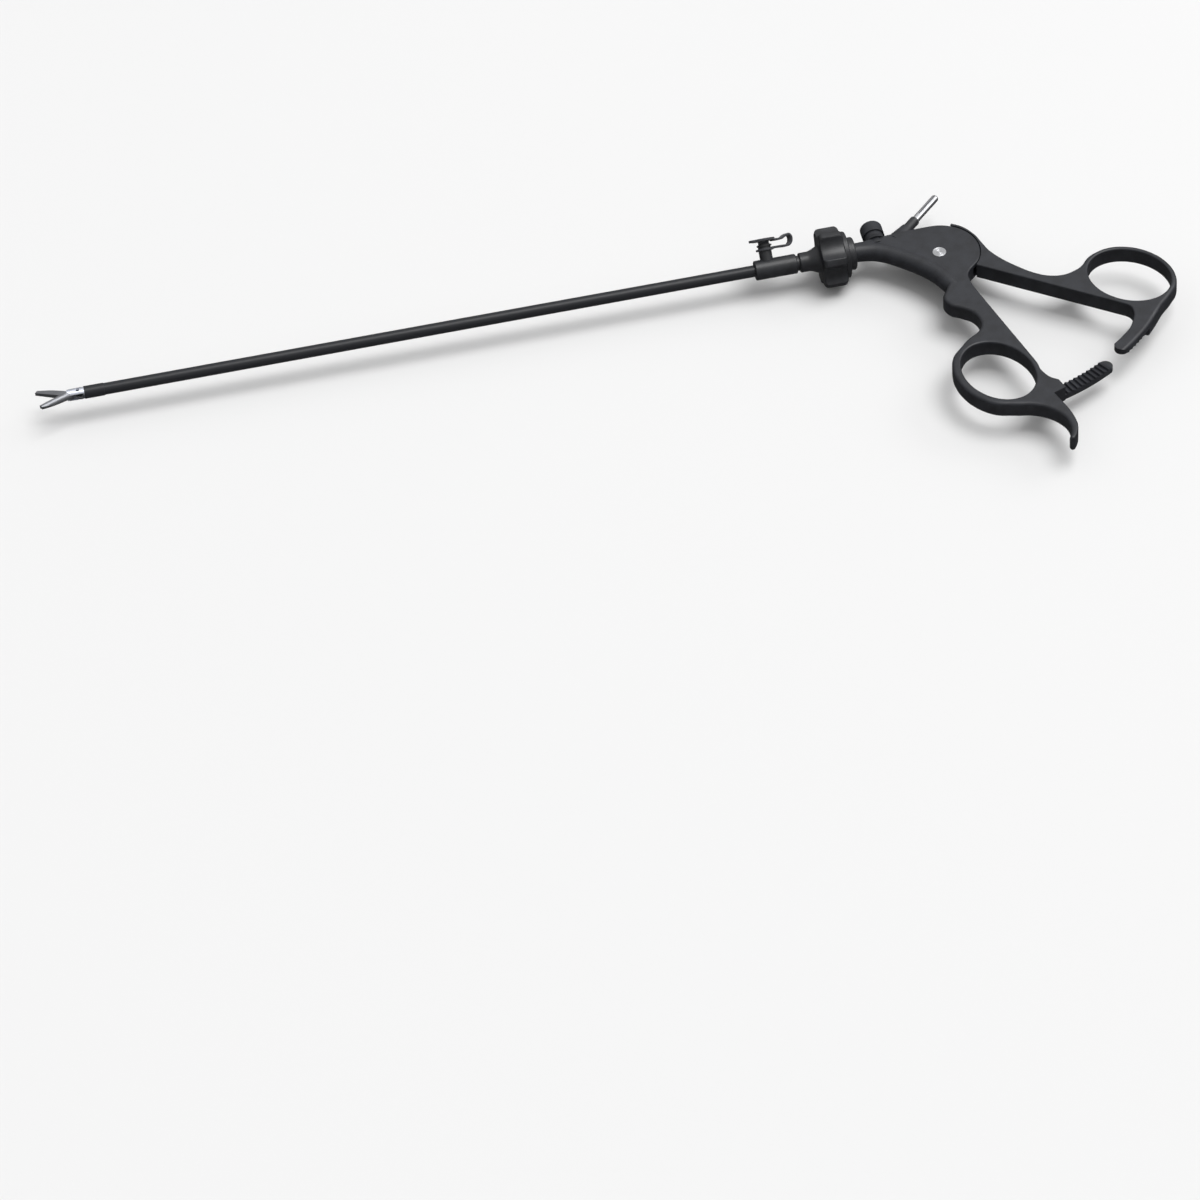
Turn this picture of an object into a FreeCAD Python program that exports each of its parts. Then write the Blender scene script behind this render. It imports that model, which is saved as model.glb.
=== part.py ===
import FreeCAD, Part
import math
import os

Vector = FreeCAD.Vector

# Driving dimensions, in millimetres and degrees.
# The shaft lies along X, with the jaws toward -X and the handles toward +X.
# X = 0 is where the insulated sheath leaves the flushing hub.

# Sheath, insert tube and pull rod
sheath_length = 287.0
sheath_radius = 2.5
insulation_thickness = 0.3
sheath_tube_wall = 0.25
tip_collar_length = 8.5
tip_collar_step = 0.2
insert_clearance = 0.15
insert_wall = 0.3
rod_radius = 0.8
ball_radius = 1.3

# Jaw
clevis_length = 7.4
clevis_slot_height = 3.0
clevis_spigot_length = 4.0
jaw_pin_setback = 1.4
jaw_pin_radius = 0.5
drive_pin_radius = 0.4
drive_pin_setback = 1.7
window_length = 1.3
window_width = 1.9
window_setback = 3.4
blade_length = 15.1
near_blade_length = 14.0
blade_open_angle = 22.0
blade_overlap = 0.6
blade_back_inset = 0.15
blade_tip_reach = 0.75
blade_tip_slant = 0.4
tail_thickness = 0.8
tail_margin = 0.7
shear_gap = 0.03

# Flushing hub and its side port
hub_length = 18.0
hub_radius = 4.2
hub_edge = 0.5
tube_seat_depth = 3.5
chamber_radius = 2.6
seal_length = 2.0
spigot_radius = 3.2
spigot_in_hub = 3.5
spigot_in_wheel = 5.0
hub_gap = 1.2
port_x = 5.8
port_tilt = 45.0
port_radius = 2.75
port_length = 10.4
port_mouth_radius = 2.135
port_taper = 0.03
port_bore_depth = 7.5
port_lug_radius = 3.2
port_lug_thickness = 0.6
cap_disc_radius = 5.0
cap_disc_thickness = 1.0
cap_skirt_height = 1.3
cap_skirt_radius = 2.35
cap_plug_length = 3.2
strap_width = 3.4
strap_thickness = 0.9
strap_reach = 12.2
strap_ring_height = 8.1
strap_turn = 25.0
cap_tab_reach = 6.9
cap_tab_width = 3.6

# Rotation wheel
bell_length = 8.8
wheel_length = 10.2
wheel_radius = 13.0
wheel_root_radius = 10.2
valley_radius = 3.0
lobe_count = 6
lobe_phase = 20.0
lobe_edge = 1.5
back_plate_length = 1.9
back_plate_radius = 9.9
retainer_length = 3.1
retainer_radius = 7.0
shank_radius = 2.4
groove_radius = 1.9
groove_length = 1.8

# Neck, release button and its latch
neck_radius = 4.1
neck_gap = 0.3
bearing_length = 6.5
bearing_wall = 0.65
button_offset = 9.8
button_travel = 0.9
button_radius = 4.75
button_height = 5.9
button_wall = 0.5
button_top = 13.2
button_roof = 2.0
boss_radius = 4.15
boss_height = 9.4
boss_flare = 0.9
boss_flare_height = 2.6
latch_thickness = 1.4
latch_half_width = 2.95
latch_stem_radius = 1.2
latch_floor = 5.2
latch_centre = 0.35
spring_radius = 2.0
spring_wire = 0.25
spring_turns = 3

# Handles, which lie flat in the plane of the shaft axis
handle_thickness = 7.6
pivot_offset = 33.6
pivot_drop = 13.0
rim_radius = 17.3
collar_gap = 0.25
collar_thickness = 1.9
collar_angle = 61.0
slot_angle = 79.0
slot_height = 4.0
lever_thickness = 3.8
handle_travel = 14.0
finger_arm_angle = -75.0
thumb_arm_angle = -36.5
finger_edge_offset = 2.25
thumb_edge_offset = 1.55
finger_ring_along = 76.0
finger_ring_side = -14.1
finger_ring_half_length = 18.4
finger_ring_half_width = 13.9
finger_ring_tilt = 5.7
finger_ring_wall = 3.6
thumb_ring_along = 79.4
thumb_ring_side = 15.8
thumb_ring_half_length = 18.3
thumb_ring_half_width = 14.8
thumb_ring_tilt = -10.8
thumb_ring_wall = 2.4
outer_edge_radius = 1.5
hook_edge_radius = 1.0
inner_edge_radius = 0.7
ring_edge_radius = 0.8
bar_radius = 3.75
bar_entry_angle = 32.0
ratchet_from_ring = 13.2
ratchet_width = 6.0
ratchet_gap = 0.1
tooth_height = 0.9
tooth_pitch = 1.4
tooth_steepness = 0.15
finger_teeth = 10
thumb_teeth = 7
finger_ratchet_root = -72.2
finger_ratchet_tip = -57.8
thumb_ratchet_tip = -53.2

# Pivot joint and drive lever
pivot_barrel_radius = 2.0
pivot_screw_radius = 1.25
pivot_head_radius = 2.85
pivot_head_thickness = 1.0
pivot_head_proud = 0.1
lever_hub_radius = 7.0
prong_width = 1.3
running_gap = 0.05

# Contact pin for the high-frequency cord
contact_angle = 45.0
contact_setback = 17.7
contact_boss_end = 12.4
contact_boss_root_radius = 4.0
contact_boss_tip_radius = 2.65
contact_sleeve_end = 18.7
contact_sleeve_radius = 2.15
contact_sleeve_seat = 4.4
contact_pin_end = 36.2
contact_pin_radius = 1.6
contact_neck_radius = 1.4
contact_stem_radius = 1.0
contact_slot_width = 0.4
contact_slot_length = 14.0

# Places that follow from the sizes above
half_thickness = handle_thickness / 2
tube_outer = sheath_radius - insulation_thickness
tube_inner = tube_outer - sheath_tube_wall
tip_collar_radius = sheath_radius + tip_collar_step
insert_radius = tube_inner - insert_clearance
insert_bore = insert_radius - insert_wall
wheel_bell_front = hub_length + hub_gap
wheel_front = wheel_bell_front + bell_length
wheel_back = wheel_front + wheel_length
plate_back = wheel_back + back_plate_length
retainer_back = plate_back + retainer_length
neck_front = retainer_back + neck_gap
button_x = neck_front + button_offset
pivot = Vector(neck_front + pivot_offset, -pivot_drop, 0)
spigot_back = wheel_bell_front + spigot_in_wheel
shank_socket = 3.8
shank_back = button_x + 3.7
clevis_front = -sheath_length - clevis_length
jaw_pin_x = clevis_front + jaw_pin_setback
blade_back_reach = sheath_radius - blade_back_inset
ratchet_inner = thumb_ring_along + ratchet_from_ring
ratchet_outer = ratchet_inner + ratchet_width
half_travel = math.radians(handle_travel / 2)
rod_travel = 2 * pivot_drop * math.tan(half_travel)
ball_x = pivot.x - rod_travel / 2
latch_top = latch_floor - button_travel - 0.05
stem_overlap = 0.5
lever_rest_angle = 90 + handle_travel / 2
collar_inner = rim_radius + collar_gap
collar_outer = collar_inner + collar_thickness

x_axis = Vector(1, 0, 0)
y_axis = Vector(0, 1, 0)
z_axis = Vector(0, 0, 1)
origin = Vector(0, 0, 0)


def turn(vector, angle):
    """Turn a vector about Z by an angle in degrees."""
    a = math.radians(angle)
    return Vector(vector.x * math.cos(a) - vector.y * math.sin(a),
                  vector.x * math.sin(a) + vector.y * math.cos(a), vector.z)


def polar(radius, angle):
    """A point at a radius and an angle about the handle pivot."""
    return pivot + turn(Vector(radius, 0, 0), angle)


def on_arm(arm_angle, along, side):
    """A point along a handle arm from the pivot, and to the left of that line."""
    return pivot + turn(Vector(along, side, 0), arm_angle)


def arc(first, middle, last):
    return Part.Arc(first, middle, last).toShape()


def pivot_arc(radius, start, end):
    return arc(polar(radius, start), polar(radius, (start + end) / 2), polar(radius, end))


def unit(vector):
    return vector * (1 / vector.Length)


def bend(start, corner, end):
    """The arc that leaves start towards a corner and arrives at end from it."""
    middle = (start + end) * 0.5
    reach = (corner - start).Length
    if (corner - middle).Length < 0.002 * reach:
        return Part.makeLine(start, end)
    share = (end - start).Length / (2 * reach)
    return arc(start, middle + (corner - middle) * (share / (1 + share)), end)


def smooth(points, start=None, end=None):
    """Arcs that pass smoothly through points, with set directions at the ends where given."""
    steps = [after - before for before, after in zip(points, points[1:])]
    ways = [unit(unit(a) * b.Length + unit(b) * a.Length) for a, b in zip(steps, steps[1:])]
    if start is None:
        chord = unit(steps[0])
        start = chord * (2 * chord.dot(ways[0])) - ways[0]
    if end is None:
        chord = unit(steps[-1])
        end = chord * (2 * chord.dot(ways[-1])) - ways[-1]
    ways = [start] + ways + [end]
    edges = []
    for first, last, way, next_way, step in zip(points, points[1:], ways, ways[1:], steps):
        # Two equal tangent lengths meet the chord, so the pair of arcs joins without a kink.
        turning = 2 * (1 - way.dot(next_way))
        along = step.dot(way + next_way)
        if turning < 1e-6:
            reach = step.Length ** 2 / (2 * along)
        else:
            reach = (math.sqrt(along ** 2 + 2 * turning * step.Length ** 2 / 2) - along) / turning
        corner = first + way * reach
        next_corner = last - next_way * reach
        joint = (corner + next_corner) * 0.5
        edges.append(bend(first, corner, joint))
        edges.append(bend(joint, next_corner, last))
    return edges


def plate(edges, bottom, top):
    """Extrude a closed outline drawn in the plane Z = 0."""
    face = Part.Face(Part.Wire(Part.__sortEdges__(edges)))
    solid = face.extrude(Vector(0, 0, top - bottom))
    solid.translate(Vector(0, 0, bottom))
    return solid


def rod_x(start, end, radius):
    return Part.makeCylinder(radius, end - start, Vector(start, 0, 0), x_axis)


def tube_x(start, end, outer, inner):
    return rod_x(start, end, outer).cut(rod_x(start, end, inner))


def post(radius, bottom, top, place=origin):
    """A round post along Z."""
    return Part.makeCylinder(radius, top - bottom, Vector(place.x, place.y, bottom), z_axis)


def turned(outline, place=origin, direction=z_axis):
    """Revolve an outline of (radius, height) pairs and stand it on a place."""
    points = [Vector(radius, 0, height) for radius, height in outline]
    points.append(points[0])
    solid = Part.Face(Part.makePolygon(points)).revolve(origin, z_axis, 360)
    solid.Placement = FreeCAD.Placement(place, FreeCAD.Rotation(z_axis, direction))
    return solid


def sector(inner, outer, start, end, bottom, top):
    """A flat piece of a ring about the handle pivot."""
    edges = [pivot_arc(outer, start, end), Part.makeLine(polar(outer, end), polar(inner, end))]
    edges.append(pivot_arc(inner, end, start))
    edges.append(Part.makeLine(polar(inner, start), polar(outer, start)))
    return plate(edges, bottom, top)


def fillet_where(solid, radius, wanted):
    edges = [edge for edge in solid.Edges if wanted(edge)]
    return solid.makeFillet(radius, edges)


def round_outline(solid, radius, places):
    """Round the upper and lower edges of a handle's outline where it passes some places."""
    edges = []
    for place in places:
        for height in (-half_thickness, half_thickness):
            spot = Part.Vertex(place + Vector(0, 0, height))
            edges.append(min(solid.Edges, key=lambda edge: edge.distToShape(spot)[0]))
    return solid.makeFillet(radius, edges)


def oval_point(centre_along, centre_side, half_length, half_width, tilt, arm_angle, angle):
    """A point on a finger ring's oval, whose long axis is tilted from its arm."""
    a = math.radians(angle)
    local = turn(Vector(half_length * math.cos(a), half_width * math.sin(a), 0), tilt)
    return on_arm(arm_angle, centre_along + local.x, centre_side + local.y)


def oval_hole(centre_along, centre_side, half_length, half_width, tilt, arm_angle):
    ellipse = Part.Ellipse(origin, half_length, half_width).toShape()
    wire = Part.Wire(ellipse)
    wire.rotate(origin, z_axis, tilt + arm_angle)
    wire.translate(on_arm(arm_angle, centre_along, centre_side))
    hole = Part.Face(wire).extrude(Vector(0, 0, handle_thickness * 2))
    hole.translate(Vector(0, 0, -handle_thickness))
    return hole


# Shaft

def insulation_sleeve():
    return tube_x(-sheath_length + tip_collar_length, 0, sheath_radius, tube_outer)


def sheath_tube():
    return tube_x(-sheath_length, tube_seat_depth, tube_outer, tube_inner)


def sheath_tip_collar():
    collar = tube_x(-sheath_length, -sheath_length + tip_collar_length, tip_collar_radius, tube_outer)
    return fillet_where(collar, 0.15, lambda e: abs(e.Length - 2 * math.pi * tip_collar_radius) < 0.01)


def insert_tube():
    return tube_x(-sheath_length + clevis_spigot_length, spigot_back + shank_socket, insert_radius,
                  insert_bore)


def jaw_clevis():
    body = rod_x(clevis_front, -sheath_length, sheath_radius)
    body = body.fuse(rod_x(-sheath_length, -sheath_length + clevis_spigot_length, insert_radius))
    # The fork is rounded about the jaw pin, so that the blades swing past its tines.
    nose = post(jaw_pin_setback, -sheath_radius, sheath_radius, Vector(jaw_pin_x, 0, 0))
    square = Part.makeBox(jaw_pin_setback, 4 * sheath_radius, 2 * sheath_radius,
                          Vector(clevis_front, -2 * sheath_radius, -sheath_radius))
    shoulder = Part.makeBox(jaw_pin_setback, 2 * jaw_pin_setback, 2 * sheath_radius,
                            Vector(clevis_front, -jaw_pin_setback, -sheath_radius))
    body = body.cut(square.cut(nose)).fuse(nose.common(body).common(shoulder))
    slot = Part.makeBox(clevis_length + 0.1, 2 * sheath_radius, clevis_slot_height,
                        Vector(clevis_front - 0.2, -sheath_radius, -clevis_slot_height / 2))
    body = body.cut(slot)
    body = body.cut(rod_x(-sheath_length - 0.2, -sheath_length + clevis_spigot_length, insert_bore))
    window = Part.makeBox(window_length, window_width, 4 * sheath_radius,
                          Vector(jaw_pin_x + window_setback - window_length / 2, -window_width / 2,
                                 -2 * sheath_radius))
    body = body.cut(window)
    return body.cut(post(jaw_pin_radius, -sheath_radius, sheath_radius, Vector(jaw_pin_x, 0, 0)))


def jaw_pin():
    return post(jaw_pin_radius, -sheath_radius + 0.05, sheath_radius - 0.05, Vector(jaw_pin_x, 0, 0))


def cam_point(share, offset):
    """A point of a blade's cam slot, in the closed blade's frame, offset across the slot."""
    def centre(t):
        radius = drive_pin_setback + rod_travel * t
        lag = math.radians(blade_open_angle * (1 - t))
        return Vector(radius * math.cos(lag), -radius * math.sin(lag), 0)
    step = 0.001
    along = centre(share + step) - centre(share - step)
    along.normalize()
    return centre(share) + Vector(-along.y, along.x, 0) * offset, along


def cam_band(half_width, bottom, top):
    """The curved band that the drive pin sweeps through a blade's tail."""
    left = [cam_point(share, half_width)[0] for share in (0, 0.5, 1)]
    right = [cam_point(share, -half_width)[0] for share in (0, 0.5, 1)]
    near, near_way = cam_point(0, 0)
    far, far_way = cam_point(1, 0)
    edges = [arc(*left), arc(left[2], far + far_way * half_width, right[2])]
    edges.append(arc(right[2], right[1], right[0]))
    edges.append(arc(right[0], near - near_way * half_width, left[0]))
    return plate(edges, bottom, top)


def blade(length, half_turn):
    """One scissor blade: half-round outside, flat on its shearing side, with a cam tail."""
    tip = -length
    outline = [Vector(1.2, blade_overlap, 0), Vector(tip, blade_overlap, 0)]
    outline.append(Vector(tip + blade_tip_slant, -blade_tip_reach, 0))
    back = smooth([outline[2], Vector(-0.63 * length, -0.745 * blade_back_reach, 0), Vector(-0.21 * length, -blade_back_reach, 0),
                   Vector(1.2, -blade_back_reach, 0)])
    edges = [Part.makeLine(outline[0], outline[1]), Part.makeLine(outline[1], outline[2])] + back
    edges.append(Part.makeLine(Vector(1.2, -blade_back_reach, 0), outline[0]))
    body = plate(edges, shear_gap, sheath_radius)
    cone = Part.makeCone(sheath_radius - 0.05, sheath_radius * 0.62, length + 4,
                         Vector(2, 0, 0), Vector(-1, 0, 0))
    body = body.common(cone)
    # Behind the fork's nose only a thin cheek runs in the fork, and behind the pin only the tail.
    swing = jaw_pin_setback + 0.15
    cheek_top = clevis_slot_height / 2 - running_gap
    fork_side = Part.makeBox(swing + 3, 4 * sheath_radius, sheath_radius,
                             Vector(-running_gap, -2 * sheath_radius, cheek_top))
    body = body.cut(post(swing, cheek_top, sheath_radius + 1)).cut(fork_side)
    fork_side.rotate(origin, z_axis, -blade_open_angle)
    body = body.cut(fork_side)
    hub = post(jaw_pin_setback - 0.05, shear_gap, shear_gap + tail_thickness)
    behind = Part.makeBox(4, 4 * sheath_radius, 2 * sheath_radius,
                          Vector(0, -2 * sheath_radius, 0))
    body = body.cut(behind)
    boss = post(drive_pin_setback - drive_pin_radius - 0.45, shear_gap, cheek_top)
    tail = cam_band(drive_pin_radius + tail_margin, shear_gap, shear_gap + tail_thickness)
    body = body.fuse([hub, boss, tail]).removeSplitter()
    body = body.cut(cam_band(drive_pin_radius + running_gap, 0, sheath_radius))
    body = body.cut(post(jaw_pin_radius + running_gap, 0, sheath_radius))
    body.rotate(origin, z_axis, blade_open_angle)
    if half_turn:
        body.rotate(origin, x_axis, 180)
    body.translate(Vector(jaw_pin_x, 0, 0))
    return body


def pull_rod():
    head_radius = insert_bore - running_gap
    pin_x = jaw_pin_x + drive_pin_setback
    head_start = pin_x - drive_pin_radius - 0.35
    tail_end = drive_pin_setback + rod_travel + drive_pin_radius + tail_margin
    web = jaw_pin_x + tail_end + 0.15
    head = rod_x(head_start, web + 2.0, head_radius)
    gap_half = shear_gap + tail_thickness + running_gap
    fork = Part.makeBox(web - head_start, 4 * head_radius, 2 * gap_half,
                        Vector(head_start, -2 * head_radius, -gap_half))
    rod = head.cut(fork).fuse(rod_x(web + 1.0, ball_x, rod_radius))
    ball = Part.makeSphere(ball_radius, Vector(ball_x, 0, 0))
    rod = rod.fuse(ball)
    return rod.cut(post(drive_pin_radius, -2 * head_radius, 2 * head_radius, Vector(pin_x, 0, 0)))


def drive_pin():
    head_radius = insert_bore - running_gap
    reach = math.sqrt(head_radius ** 2 - drive_pin_radius ** 2)
    return post(drive_pin_radius, -reach, reach, Vector(jaw_pin_x + drive_pin_setback, 0, 0))


# Flushing hub

def port_way():
    a = math.radians(port_tilt)
    return Vector(0, math.sin(a), math.cos(a))


def along_port(solid):
    """Stand a solid, drawn along Z, on the port's axis."""
    solid.rotate(origin, x_axis, -port_tilt)
    solid.translate(Vector(port_x, 0, 0))
    return solid


def luer_hub():
    body = rod_x(0, hub_length, hub_radius)
    body = fillet_where(body, hub_edge, lambda e: e.Length > 2 * hub_radius * 3)
    body = body.cut(rod_x(0, tube_seat_depth, tube_outer))
    body = body.cut(rod_x(tube_seat_depth, hub_length - spigot_in_hub, chamber_radius))
    body = body.cut(rod_x(hub_length - spigot_in_hub, hub_length, spigot_radius))
    return body.cut(along_port(post(port_radius, 0, port_length)))


def hub_seal():
    back = hub_length - spigot_in_hub
    return tube_x(back - seal_length, back, chamber_radius, insert_radius)


def hub_spigot():
    return tube_x(hub_length - spigot_in_hub, spigot_back, spigot_radius, insert_radius)


def luer_port():
    start = chamber_radius + 0.3
    depth_radius = port_mouth_radius - port_taper * port_bore_depth
    outer = post(port_radius, start, port_length)
    lug_top = port_length - 0.3
    outer = outer.fuse(post(port_lug_radius, lug_top - port_lug_thickness, lug_top))
    bore = Part.makeCone(depth_radius, port_mouth_radius, port_bore_depth,
                         Vector(0, 0, port_length - port_bore_depth), z_axis)
    outer = outer.cut(bore).cut(post(depth_radius - 0.4, 0, port_length))
    return along_port(outer)


def port_cap():
    plug_top = port_mouth_radius - 0.06
    plug_tip = plug_top - port_taper * cap_plug_length
    skirt_top = port_length + running_gap + cap_skirt_height
    top = skirt_top + cap_disc_thickness
    outline = [(0, port_length - cap_plug_length), (plug_tip, port_length - cap_plug_length)]
    outline += [(plug_top, port_length + running_gap), (cap_skirt_radius, port_length + running_gap)]
    outline += [(cap_skirt_radius, skirt_top), (cap_disc_radius, skirt_top)]
    outline += [(cap_disc_radius, top), (0, top)]
    cap = turned(outline)
    # A finger tab stands out on the side away from the strap.
    half = cap_tab_width / 2
    tab = post(half, skirt_top, top, Vector(half - cap_tab_reach, 0, 0))
    tab = tab.fuse(Part.makeBox(cap_tab_reach - half, cap_tab_width, cap_disc_thickness,
                                Vector(half - cap_tab_reach, -half, skirt_top)))
    tab.rotate(origin, z_axis, strap_turn)
    return along_port(cap.fuse(tab))


def cap_strap():
    """The flat silicone strap from the cap's edge round to the ring on the port."""
    middle = port_length + running_gap + cap_skirt_height + cap_disc_thickness / 2
    ring = strap_ring_height
    route = [Vector(cap_disc_radius + 0.3, 0, middle), Vector(8.4, 0, middle - 0.3)]
    route += [Vector(10.4, 0, middle + 0.5), Vector(strap_reach, 0, middle - 1.2)]
    route += [Vector(strap_reach - 0.1, 0, ring + 1.2), Vector(strap_reach - 2, 0, ring - 0.1)]
    route += [Vector(7.6, 0, ring - 0.2), Vector(port_radius + 0.5, 0, ring)]
    path = Part.Wire(smooth(route))
    heading = unit(route[1] - route[0])
    section = Part.Wire(Part.makePolygon([
        Vector(0, -strap_width / 2, -strap_thickness / 2), Vector(0, strap_width / 2, -strap_thickness / 2),
        Vector(0, strap_width / 2, strap_thickness / 2), Vector(0, -strap_width / 2, strap_thickness / 2),
        Vector(0, -strap_width / 2, -strap_thickness / 2)]))
    section.Placement = FreeCAD.Placement(route[0], FreeCAD.Rotation(x_axis, heading))
    shell = Part.BRepOffsetAPI.MakePipeShell(path)
    shell.setBiNormalMode(y_axis)
    shell.add(section)
    shell.build()
    shell.makeSolid()
    strap = shell.shape()
    ring_low = ring - strap_thickness / 2
    ring_high = ring + strap_thickness / 2
    strap = strap.fuse(post(port_radius + 1.05, ring_low, ring_high))
    strap = strap.cut(post(port_radius, 0, port_length))
    strap.rotate(origin, z_axis, strap_turn)
    return along_port(strap)


# Rotation wheel

def wheel_profile():
    """The bell and the round core of the wheel, as a revolved outline about X."""
    flare = smooth([Vector(wheel_bell_front + 3.5, hub_radius, 0),
                    Vector(wheel_front - 2.6, hub_radius + 0.75, 0),
                    Vector(wheel_front, hub_radius + 2.6, 0)], x_axis, Vector(0.35, 0.94, 0))
    front = Part.makeLine(Vector(wheel_bell_front, spigot_radius, 0),
                          Vector(wheel_bell_front, hub_radius - 0.4, 0))
    chamfer = Part.makeLine(Vector(wheel_bell_front, hub_radius - 0.4, 0),
                            Vector(wheel_bell_front + 0.4, hub_radius, 0))
    barrel = Part.makeLine(Vector(wheel_bell_front + 0.4, hub_radius, 0),
                           Vector(wheel_bell_front + 3.5, hub_radius, 0))
    wall = Part.makePolygon([Vector(wheel_front, hub_radius + 2.6, 0), Vector(wheel_back, hub_radius + 2.6, 0),
                             Vector(wheel_back, shank_radius, 0), Vector(spigot_back, shank_radius, 0),
                             Vector(spigot_back, spigot_radius, 0), Vector(wheel_bell_front, spigot_radius, 0)])
    edges = [front, chamfer, barrel] + flare + wall.Edges
    return Part.Face(Part.Wire(Part.__sortEdges__(edges))).revolve(origin, x_axis, 360)


def wheel_lobes():
    """A disc with concave scallops between broad lobes, rounded on its edges."""
    disc = rod_x(wheel_front, wheel_back, wheel_radius)
    step = 360.0 / lobe_count
    for index in range(lobe_count):
        scallop = rod_x(wheel_front - 1, wheel_back + 1, valley_radius)
        scallop.translate(Vector(0, 0, wheel_root_radius + valley_radius))
        scallop.rotate(origin, x_axis, -lobe_phase + step / 2 + index * step)
        disc = disc.cut(scallop)
    disc = fillet_where(disc, 1.2, lambda e: abs(e.Length - wheel_length) < 0.01)
    rims = fillet_where(disc, lobe_edge, lambda e: abs(e.CenterOfMass.x - wheel_front) < 0.01
                        or abs(e.CenterOfMass.x - wheel_back) < 0.01)
    return rims


def rotation_wheel():
    lobes = wheel_lobes().cut(rod_x(wheel_front - 1, wheel_back + 1, hub_radius))
    return wheel_profile().fuse(lobes)


def wheel_back_plate():
    body = tube_x(wheel_back, plate_back, back_plate_radius, shank_radius)
    return fillet_where(body, 0.7, lambda e: abs(e.CenterOfMass.x - plate_back) < 0.01
                        and e.Length > 4 * back_plate_radius)


def retaining_collar():
    body = tube_x(plate_back, retainer_back, retainer_radius, shank_radius)
    return fillet_where(body, 1.0, lambda e: abs(e.CenterOfMass.x - retainer_back) < 0.01
                        and e.Length > 4 * retainer_radius)


def coupling_shank():
    body = rod_x(spigot_back, shank_back, shank_radius)
    body = body.cut(rod_x(spigot_back, spigot_back + shank_socket, insert_radius))
    body = body.cut(rod_x(spigot_back, shank_back, rod_radius + 0.15))
    ring = tube_x(button_x - groove_length / 2, button_x + groove_length / 2, shank_radius + 1, groove_radius)
    return body.cut(ring)


def rod_seal():
    return tube_x(spigot_back - 2.5, spigot_back - 0.5, insert_bore, rod_radius + running_gap)


# Finger handle with its neck

def finger(along, side):
    return on_arm(finger_arm_angle, along, side)


def finger_ring_point(angle):
    return oval_point(finger_ring_along, finger_ring_side, finger_ring_half_length + finger_ring_wall,
                      finger_ring_half_width + finger_ring_wall, finger_ring_tilt, finger_arm_angle, angle)


def spine():
    """The neck, and the round bar that it bends into along the front of the housing."""
    neck_end = pivot.x - 27.5
    bar_start = Vector(neck_end + 4, 0, 0)
    heading = turn(x_axis, -bar_entry_angle)
    neck = rod_x(neck_front, neck_end, neck_radius)
    taper = Part.makeCone(neck_radius, bar_radius, 4, Vector(neck_end, 0, 0), x_axis)
    route = [bar_start, pivot + Vector(-18.6, 8.6, 0), pivot + Vector(-13.3, 4.8, 0)]
    route += [pivot + Vector(-8.4, 0.4, 0), pivot + Vector(-3.9, -5.7, 0)]
    route += [pivot + Vector(-0.6, -11.4, 0), finger(18.0, -2.2), finger(25.0, -4.0)]
    path = Part.Wire(smooth(route, heading))
    bar = path.makePipe(Part.Face(Part.Wire(Part.makeCircle(bar_radius, bar_start, heading))))
    ends = [Part.makeSphere(bar_radius, place) for place in (bar_start, route[-1])]
    return [neck, taper, bar] + ends


def finger_outline():
    arm_way = turn(x_axis, finger_arm_angle)
    rim_end = -29.5
    rim_top = pivot + Vector(0, rim_radius, 0)
    neck_point = Vector(button_x + 2.0, neck_radius - 0.9, 0)
    edges = smooth([neck_point, pivot + Vector(-14, rim_radius - 0.4, 0), rim_top],
                   turn(x_axis, 8), x_axis)
    edges.append(pivot_arc(rim_radius, 90, rim_end))
    relief = [polar(rim_radius, rim_end), finger(14.8, 8.0), finger(16.0, 5.9), finger(17.6, 4.2)]
    relief += [finger(21.5, finger_edge_offset + 0.6), finger(29.6, finger_edge_offset)]
    edges += smooth(relief, turn(x_axis, rim_end - 90), arm_way)
    straight_end = ratchet_inner - 14.4
    edges.append(Part.makeLine(finger(29.6, finger_edge_offset), finger(straight_end, finger_edge_offset)))
    root = [finger(straight_end, finger_edge_offset), finger(ratchet_inner - 7.2, finger_edge_offset - 0.7)]
    root += [finger(ratchet_inner - 2.3, finger_edge_offset + 0.6), polar(ratchet_inner, finger_ratchet_root)]
    edges += smooth(root, arm_way, turn(x_axis, finger_ratchet_root + 40))
    edges.append(Part.makeLine(polar(ratchet_inner, finger_ratchet_root),
                               polar(ratchet_outer, finger_ratchet_root)))
    heel = finger(ratchet_outer + 0.6, -0.5)
    edges.append(Part.makeLine(polar(ratchet_outer, finger_ratchet_root), heel))
    # The hook hangs from the ratchet's heel, and is drawn by its distance beyond it.
    hook = [(5.9, -0.2), (11.4, 0.0), (16.7, -0.4), (21.1, -1.5), (24.7, -3.6), (27.3, -6.2)]
    hook = [heel] + [finger(ratchet_outer + beyond, side) for beyond, side in hook]
    inside = [(26.1, -8.4), (21.2, -5.0), (16.3, -4.0), (11.2, -5.0), (6.3, -7.6), (2.4, -11.4)]
    inside = [finger(ratchet_outer + beyond, side) for beyond, side in inside]
    edges += smooth(hook)
    edges.append(arc(hook[-1], finger(ratchet_outer + 27.4, -7.8), inside[0]))
    inside += [finger_ring_point(-20 - 25 * index) for index in range(7)]
    inside += [finger(46.3, -6.1), finger(39.0, -6.1), finger(34.7, -8.8), finger(30.6, -12.0)]
    inside += [finger(25.9, -12.4), finger(21.4, -8.6), finger(17.5, -4.6)]
    edges += smooth(inside)
    edges.append(Part.makeLine(finger(17.5, -4.6), polar(6.0, 222)))
    edges.append(Part.makeLine(polar(6.0, 222), neck_point))
    return edges


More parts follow.
